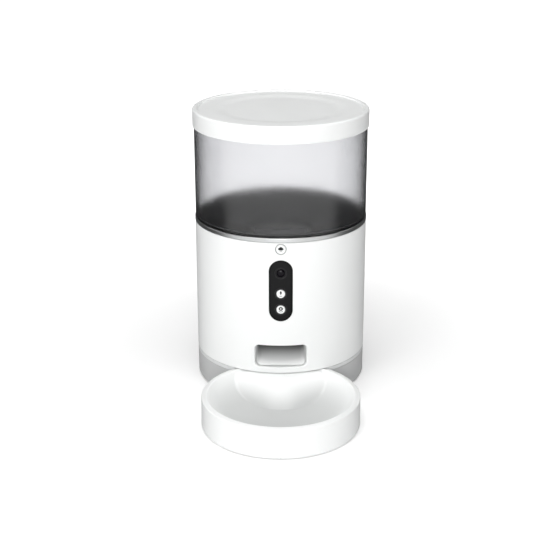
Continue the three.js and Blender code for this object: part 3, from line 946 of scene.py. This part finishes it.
def make_wheel():
    """Hub and paddles of the portion wheel."""
    paddles = 6
    bore = 4.3
    hub_r = 9
    hub = soften([(bore, WHEEL_Z0, 0.3), (hub_r, WHEEL_Z0, 0.6), (hub_r, WHEEL_Z1, 1.2),
                  (bore, WHEEL_Z1, 0.6)])
    points, faces = loft([[(x, y, z) for x, y in ellipse(0, 0, r, r, 64)] for r, z in hub], True)
    half = 1.1
    section = soften([(-half, WHEEL_Z0, 0.4), (half, WHEEL_Z0, 0.4), (half, WHEEL_Z1, 0.8),
                      (-half, WHEEL_Z1, 0.8)], 3)
    for i in range(paddles):
        angle = TURN * i / paddles + math.pi / 6
        cos, sin = math.cos(angle), math.sin(angle)
        blade = [[(r * cos - a * sin, r * sin + a * cos, z) for a, z in section] for r in (8.4, 41.0, 41.5)]
        join(points, faces, prism(blade))
    # painted light: lighter grey than the wheel's dark plastic, against the shade in the throat
    piece("portion_wheel", points, faces, PAINTED_LIGHT_GREY, "rotor", ["paddle_wheel"], sharp=40)


# ---- base and its bowl bay ----


def notched(radius, bay, corner):
    """Outline of a disc of this radius with the bowl's bay cut out of its front, corners rounded."""
    arc_steps = 120
    bend_steps = 6
    bay_steps = 48
    inner = radius - corner
    outer = bay + corner
    y = (inner * inner - outer * outer + BOWL_Y * BOWL_Y) / (2 * BOWL_Y)
    x = math.sqrt(inner * inner - y * y)
    start = math.atan2(y, x)
    sweep = math.pi - 2 * start
    points = []
    for k in range(arc_steps + 1):
        a = start + sweep * k / arc_steps
        points.append((radius * math.cos(a), radius * math.sin(a)))
    from_bowl = math.atan2(y - BOWL_Y, x)
    a0 = math.atan2(y, -x) % TURN
    a1 = math.atan2(-(y - BOWL_Y), x) % TURN
    bend = []
    for k in range(1, bend_steps):
        a = a0 + (a1 - a0) * k / bend_steps
        bend.append((-x + corner * math.cos(a), y + corner * math.sin(a)))
    points += bend
    for k in range(bay_steps + 1):
        a = math.pi - from_bowl + (2 * from_bowl - math.pi) * k / bay_steps
        points.append((bay * math.cos(a), BOWL_Y + bay * math.sin(a)))
    return points + [(-px, py) for px, py in bend[::-1]]


def notched_wall(name, z0, z1, fillet, material, replaced=()):
    """A standing wall along the notched outline, rounded by fillet below and a little above."""
    rings = []

    def add_ring(shift, z):
        rings.append([(x, y, z) for x, y in notched(BASE_R - shift, BAY_R + shift, 3.0 - shift)])

    for a in arc(5):
        add_ring(fillet * (1 - math.sin(a)), z0 + fillet * (1 - math.cos(a)))
    top = 0.5
    for a in arc(3):
        add_ring(top * (1 - math.cos(a)), z1 - top * (1 - math.sin(a)))
    for z in (z1, z0):
        rings.append([(x, y, z) for x, y in notched(BASE_R - 2.9, BAY_R + 2.0, 1.0)])
    points, faces = loft(rings, True)
    return piece(name, points, faces, material, "base", replaced, sharp=50)


def make_base():
    skirt = notched_wall("base_skirt", BASE_Z0, BAND_Z, 2.4, FROSTED, ["base_ring"])
    carve(skirt, [front_cutter(circle(5.8, SOCKET_Z), 80, 97)])
    # A paler band over the frosted skirt: painted highlight along the ring's top edge.
    notched_wall("base_upper_band_painted_light", BAND_Z + 0.2, BASE_Z1, 0.4, FROSTED_PAINTED_LIGHT, ())


def make_feet():
    radius = 5.5
    height = 1.7
    profile = soften([(0, 0), (radius, 0, 0.5), (radius, height, 0.3), (0, height)], closed=False)
    for i in range(1, 5):
        x, y, _z = middle(f"foot_{i}")
        turned(f"rubber_foot_{i}", profile, RUBBER, "base", [f"foot_{i}"], "black_rubber", x, y, FRONT_STEPS)


def make_socket():
    """DC inlet: round well with a pin, seen in the back of the base."""
    case = 5.5
    well = 3.25
    pin = 0.9
    mouth = 94.4
    well_floor = 84.5
    profile = soften([
        (0, 82), (case, 82, 0.3), (case, mouth, 0.4), (well, mouth, 0.4), (well, well_floor, 0.2),
        (pin, well_floor, 0.2), (pin, 88.7, 0.4), (0, 89),
    ], closed=False)
    turned_front("power_inlet", profile, BLACK_SATIN, "base", SOCKET_Z, ["dc_socket"])


def make_grille():
    gap = 0.3
    outline = dense(rounded_rect(GRILLE_HALF - gap, GRILLE_Z0 + gap, GRILLE_Z1 - gap, GRILLE_CORNER - gap))
    slots = []
    for i in range(-2, 3):
        rise = i * 5.6
        slots.append((dense(rounded_rect(15, 128.8 + rise, 131.2 + rise, 1.2, 5)), 0.2))
    sheet = wall_sheet("sound_grille", (outline, 0.35), slots, GRILLE_R, 92.6, WHITE, "base",
                       ["speaker_grille"], side=1)
    radial_shading(sheet, GRILLE_R, GRILLE_Z0, GRILLE_Z1)


def make_chute():
    """Duct that drops from the barrel and runs out at the window as one smooth scoop."""
    stations = 40
    wall = 1.6
    top_z = 117.7
    floor_line = soften([(-21, top_z), (-21, 90, 26), (-CHUTE_END, CHUTE_LOW)], 14, closed=False)
    roof_line = soften([(-43, top_z), (-43, 96, 8), (-CHUTE_END, CHUTE_TOP)], 8, closed=False)
    floor_points = even(floor_line, stations)
    roof_points = even(roof_line, stations)
    inner = []
    outer = []
    for i in range(stations + 1):
        bottom = Vector(floor_points[i])
        top = Vector(roof_points[i])
        bend = max(0.0, (i - stations * 0.6) / (stations * 0.4)) ** 2
        flare = max(0.0, (i - stations * 0.65) / (stations * 0.35)) ** 1.5
        half = CHUTE_HALF + (CHUTE_MOUTH - CHUTE_HALF) * flare
        inner.append(chute_ring(bottom, top, half, 0.0, 5.0, bend))
        outer.append(chute_ring(bottom, top, half, wall, 6.0, bend))
    points, faces = loft(inner + outer[::-1], True)
    # The chute's colour paints the shade of the recess, darker further in from the window.
    piece("food_chute", points, faces, CHUTE_PAINTED_SHADE, "base", ["chute"], sharp=60)


def chute_ring(bottom, top, half, wall, corner, bend):
    """A section of the duct between two points in y and z; bend curves it with the round shell."""
    up = (top - bottom).normalized()
    tall = (top - bottom).length
    ring = []
    for x, h in rounded_rect(half + wall, -wall, tall + wall, corner, 6):
        spot = bottom + up * h
        follow = CHUTE_END - math.sqrt(CHUTE_END * CHUTE_END - x * x)
        ring.append((x, spot.x + follow * bend, spot.y))
    return ring


def even(line, count):
    """Points at even spacing along a polyline."""
    lengths = [0.0]
    for a, b in zip(line, line[1:]):
        lengths.append(lengths[-1] + math.dist(a, b))
    result = []
    for i in range(count + 1):
        target = lengths[-1] * i / count
        k = max(j for j in range(len(line) - 1) if lengths[j] <= target + 1e-9)
        part = (target - lengths[k]) / max(1e-9, lengths[k + 1] - lengths[k])
        result.append(tuple(Vector(line[k]).lerp(Vector(line[k + 1]), min(1.0, part))))
    return result


# ---- front controls ----


def make_panel():
    outline = dense(rounded_rect(PANEL_HALF, PANEL_LOW[2], PANEL_HIGH[2], FULLY_ROUND, 16))
    low = 90
    high = 170
    rim = wall_sheet("front_glass_rim", (outline, 0.4), [(offset(outline, 1.7), 0.1)], PANEL_RIM_R,
                     PANEL_BACK_R + 0.1, EDGE_BLACK, "base", (), grid=1.8)
    radial_shading(rim, PANEL_RIM_R, low, high)
    holes = [(circle(RING_R + 0.12, z), 0.1) for z in (CAMERA_Z, UPPER_Z, LOWER_Z)]
    face = wall_sheet("front_glass", (offset(outline, 1.75), 0.1), holes, PANEL_FACE_R, PANEL_BACK_R,
                      BLACK_GLOSS, "base", ["front_panel"], grid=1.8)
    radial_shading(face, PANEL_FACE_R, low, high)


def make_camera():
    back = -92.2
    ring = soften([(4.5, back), (RING_R, back), (RING_R, -94.7, 0.3), (6.1, -94.95, 0.2),
                   (4.7, -94.2, 0.3)], 3)
    turned_front("camera_surround", ring, RING_BLACK, "base", CAMERA_Z, ["camera_bezel"])
    radius = 4.15
    bulge = 1.3
    glass = [(0, -91.4), (radius, -91.4), (radius, -93.5)]
    for a in arc(8)[1:]:
        glass.append((radius * math.cos(a), -93.5 - bulge * math.sin(a)))
    turned_front("camera_eye", glass, LENS, "base", CAMERA_Z, ["camera_lens"])


def make_button(name, body, r, z, icon):
    """A key with a stem that reaches its switch, and its icon as a thin raised print."""
    cap = soften([
        (0, -95.5), (r, -95.45, 0.7), (r, -91.6, 0.2), (2, -91.6), (2, -88.8), (0, -88.8),
    ], closed=False)
    turned_front(name, cap, WHITE, body, z, [body])
    points = []
    faces = []
    for outline in icon:
        slab = [[(x * 1.25, y, z + dz * 1.2) for x, dz in outline] for y in (-95.56, -95.3)]
        join(points, faces, prism(slab))
    piece(f"{name}_icon", points, faces, INK, body, (), sharp=30)


def blob(x, z, rx, rz):
    return ellipse(x, z, rx, rz, 24)


def strip(line, width):
    """A band of even width along a line."""
    left = []
    right = []
    for i, point in enumerate(line):
        a = Vector(line[max(0, i - 1)])
        b = Vector(line[min(len(line) - 1, i + 1)])
        across = (b - a).normalized()
        across = Vector((-across.y, across.x)) * (width / 2)
        left.append(tuple(Vector(point) + across))
        right.append(tuple(Vector(point) - across))
    return left + right[::-1]


def arc_line(x, z, r, start, end):
    steps = 16
    result = []
    for k in range(steps + 1):
        a = math.radians(start + (end - start) * k / steps)
        result.append((x + r * math.cos(a), z + r * math.sin(a)))
    return result


def make_buttons():
    """Three keys with generic icons: a heap of food, a microphone and a lens."""
    food = [blob(0, 0.2, 2.3, 1.0), blob(-1.2, 1.0, 0.85, 0.75), blob(0, 1.6, 0.95, 0.95),
            blob(1.2, 1.0, 0.85, 0.75), strip([(-1.1, -1.7), (1.1, -1.7)], 0.22)]
    speak = [blob(0, 1.35, 0.85, 1.5), strip([(-0.25, -0.3), (0.25, -0.3)], 0.5),
             strip([(-1.1, -1.9), (1.1, -1.9)], 0.35)]
    watch = [strip(arc_line(0, 0.9, 1.25, 0, 359), 1.15), strip(arc_line(0, 0.9, 2.9, 235, 305), 0.4)]
    make_button("feed_key", "feed_button", FEED_R, FEED_Z, food)
    make_button("upper_key", "upper_button", BUTTON_R, UPPER_Z, speak)
    make_button("lower_key", "lower_button", BUTTON_R, LOWER_Z, watch)
    for which, inner, outer, z, look in (
        ("upper", BUTTON_R + 0.3, RING_R, UPPER_Z, RING_BLACK),
        ("lower", BUTTON_R + 0.3, RING_R, LOWER_Z, RING_BLACK),
        ("feed", FEED_R + 0.3, FEED_RING_R, FEED_Z, GREY),
    ):
        ring = soften([(inner, -92.2), (outer, -92.2), (outer, -94.95, 0.25), (inner, -94.95, 0.25)], 3)
        turned_front(f"{which}_key_ring", ring, look, "base", z, [f"{which}_button_ring"])


# ---- bowl ----


def smooth_max(a, b, blend):
    """The larger of two heights, with a rounded crease where they meet."""
    h = max(blend - abs(a - b), 0.0) / blend
    return max(a, b) + h * h * blend / 4


def bowl_surface(x, y):
    """Height of the inside of the bowl at a point about the tower's axis.

    The basin curves up to the rim, and the dome that the food slides over rises out of its back.
    """
    r = math.hypot(x, y - BOWL_Y)
    rim = BOWL_RIM - 0.2 * max(0.0, r - CROWN_R)
    basin = BOWL_FLOOR + (BOWL_RIM - BOWL_FLOOR) * (r / 77.0) ** 5.0
    spread = min(1.0, max(0.0, (y + 125) / 36))
    half_width = 55 + 56 * spread ** 2.2
    half_length = 73
    out = math.sqrt((x / half_width) ** 2 + ((y + 60) / half_length) ** 2)
    dome = BOWL_FLOOR - 0.5 + 31 * (1 - out ** 2.4)
    surface = smooth_max(basin, dome, 1.0)
    return -smooth_max(-surface, -rim, 1.6)


def bowl_underside(x, y):
    return bowl_surface(x, y) - 2.6


def bowl_ring(r, height):
    """A ring about the bowl's middle at the height that a function gives."""
    return [(x, y, height(x, y)) for x, y in ellipse(0, BOWL_Y, r, r, 240)]


def flat_bowl_ring(r, z):
    return [(x, y, z) for x, y in ellipse(0, BOWL_Y, r, r, 240)]


def make_bowl():
    top_steps = 90
    lip = 81.6
    rings = [bowl_ring(lip * (k / top_steps) ** 0.9, bowl_surface) for k in range(top_steps + 1)]
    shoulder = BOWL_RIM - RIM_DROP
    foot = 1.3
    foot_in = 77.4
    wall_in = 80.8
    ceiling = 3.4
    outside = soften([
        (lip, shoulder), (BOWL_R, shoulder - 0.2, 1.2), (BOWL_R, foot, 0.5), (foot_in, foot, 0.3),
        (foot_in, ceiling, 0.3), (wall_in, ceiling, 0.3), (wall_in, 29.0),
    ], 6, closed=False)
    rings += [flat_bowl_ring(r, z) for r, z in outside[1:]]
    under_steps = 26
    rings += [bowl_ring(78.6 * (k / under_steps), bowl_underside) for k in range(under_steps, -1, -1)]
    points, faces = loft(rings, False)
    bowl = piece("round_bowl", points, faces, BOWL_WHITE, "bowl", ["bowl"], sharp=60)
    # The upward faces inside the rim take the painted shade, darker towards the bowl's floor.
    bowl.data.materials.append(BOWL_PAINTED_SHADE)
    for face in bowl.data.polygons:
        spot = face.center / MM
        if math.hypot(spot.x, spot.y - AXIS_BACK - BOWL_Y) < CROWN_R - 1 and face.normal.z > 0.05:
            face.material_index = 1


# ---- carried-over nodes ----


def dress_nodes():
    """Every CAD node that still shows gets the material of its slot."""
    slots = {row["node"]: row["material_slot"] for row in frame["record"]["subparts"]}
    for name, node in NODES.items():
        node.data.materials.clear()
        look = SEAL if name.startswith("bowl_pad") else SLOT_LOOKS[slots[name]]
        node.data.materials.append(look)


# ---- stage, light and camera ----

# Emission and power are in Blender's units, places of the lamps in metres, the camera's in
# millimetres from the tower's axis and the floor, looking down by CAMERA_DOWN degrees.

FLOOR_GLOW = 0.18
FLOOR_BOUNCE = 0.02
FRONT_SHINE = 1.15
BACK_SHINE = 0.05
WORLD_LEVEL = 0.06
KEY_POWER = 18.5
FILL_POWER = 10.5
SIDE_POWER = 4.5
TOP_POWER = 27
CAMERA_SIDE = -0.85
CAMERA_AWAY = 1319.9
CAMERA_HEIGHT = 589.55
CAMERA_DOWN = 20.083
CAMERA_LENS = 79.37


def combine(tree, operation, first, second):
    """One math node over two values, kept between 0 and 1."""
    node = add_node(tree, "ShaderNodeMath")
    node.operation = operation
    node.use_clamp = True
    tree.links.new(first, node.inputs[0])
    tree.links.new(second, node.inputs[1])
    return node.outputs["Value"]


def paper():
    """White studio paper: glows evenly far out, and in reflections shows a painted reflection, bright in
    front and dark from behind.
    """
    material = moulded("paper_white", (0.93, 0.93, 0.93), 0.9, 0.003, 300.0, 0.000005,
                       Specular_IOR_Level=0.0)
    tree = material.node_tree
    link = tree.links.new
    place = add_node(tree, "ShaderNodeTexCoord").outputs["Object"]
    flat = add_node(tree, "ShaderNodeVectorMath")
    flat.operation = "LENGTH"
    link(place, flat.inputs[0])
    bsdf = tree.nodes["Principled BSDF"]
    set_values(bsdf, Emission_Color=(1, 1, 1, 1))
    glow = ranged(tree, flat.outputs["Value"], 0.22, 0.9, FLOOR_GLOW, 1.0)
    path = add_node(tree, "ShaderNodeLightPath").outputs
    level = add_node(tree, "ShaderNodeMix", B=FLOOR_BOUNCE)
    link(path["Is Diffuse Ray"], level.inputs["Factor"])
    link(glow, level.inputs["A"])
    link(level.outputs["Result"], bsdf.inputs["Emission Strength"])
    split = add_node(tree, "ShaderNodeSeparateXYZ")
    link(place, split.inputs["Vector"])
    # Painted reflection: glossy rays see only an emission that runs from FRONT_SHINE in front to BACK_SHINE
    # behind.
    front = ranged(tree, split.outputs["Y"], -0.3, -0.03, FRONT_SHINE, BACK_SHINE)
    mirrored = add_node(tree, "ShaderNodeEmission")
    link(front, mirrored.inputs["Strength"])
    mix = add_node(tree, "ShaderNodeMixShader")
    link(combine(tree, "SUBTRACT", path["Glossy Depth"], path["Is Diffuse Ray"]), mix.inputs["Fac"])
    link(bsdf.outputs["BSDF"], mix.inputs[1])
    link(mirrored.outputs["Emission"], mix.inputs[2])
    link(mix.outputs["Shader"], tree.nodes["Material Output"].inputs["Surface"])
    return material


def make_stage():
    size = 6.0
    corners = [(-size, -size, 0), (size, -size, 0), (size, size, 0), (-size, size, 0)]
    mesh = bpy.data.meshes.new("floor")
    mesh.from_pydata(corners, [], [(0, 1, 2, 3)])
    mesh.materials.append(paper())
    floor = bpy.data.objects.new("floor", mesh)
    bpy.context.scene.collection.objects.link(floor)


def area_light(name, place, size, power):
    """A square lamp aimed at the middle of the object, and not seen through its tank."""
    data = bpy.data.lights.new(name, "AREA")
    data.shape = "SQUARE"
    data.size = size
    data.energy = power
    light = bpy.data.objects.new(name, data)
    light.visible_transmission = False
    light.location = place
    light.rotation_euler = (Vector((0, 0, 0.16)) - place).to_track_quat("-Z", "Y").to_euler()
    bpy.context.scene.collection.objects.link(light)


def make_lights():
    for name, place, size, power in (
        ("key", (0, -2.0, 0.5), 0.8, KEY_POWER),
        ("fill", (-1.1, -1.7, 0.9), 1.0, FILL_POWER),
        ("left", (-1.9, 0.2, 0.7), 1.0, SIDE_POWER),
        ("right", (1.9, 0.2, 0.7), 1.0, SIDE_POWER),
        ("top", (0, -0.2, 1.85), 1.5, TOP_POWER),
    ):
        area_light(name, Vector(place), size, power)


def make_world():
    """White behind the object, seen straight or through the tank, and dim in everything else."""
    world = bpy.data.worlds.new("studio")
    bpy.context.scene.world = world
    world.use_nodes = True
    tree = world.node_tree
    back = tree.nodes["Background"]
    set_values(back, Color=(1, 1, 1, 1))
    path = add_node(tree, "ShaderNodeLightPath").outputs
    direct = combine(tree, "MAXIMUM", path["Is Camera Ray"], path["Is Transmission Ray"])
    seen = combine(tree, "SUBTRACT", direct, path["Glossy Depth"])
    tree.links.new(ranged(tree, seen, 0, 1, WORLD_LEVEL, 1.0), back.inputs["Strength"])


def make_camera_view():
    data = bpy.data.cameras.new("camera")
    data.sensor_width = 36
    data.lens = CAMERA_LENS
    camera = bpy.data.objects.new("camera", data)
    camera.location = (CAMERA_SIDE * MM, (AXIS_BACK - CAMERA_AWAY) * MM, CAMERA_HEIGHT * MM)
    camera.rotation_euler = (math.radians(90 - CAMERA_DOWN), 0, 0)
    bpy.context.scene.collection.objects.link(camera)
    bpy.context.scene.camera = camera


for make in (make_camera_view, make_lid, make_tank, make_shell, make_trim, make_deck, make_pot, make_wheel,
             make_base, make_feet, make_socket, make_grille, make_chute, make_panel, make_camera,
             make_buttons, make_bowl, dress_nodes, make_stage, make_world, make_lights):
    make()

scene = bpy.context.scene
scene.view_settings.view_transform = "Standard"
scene.view_settings.look = "None"
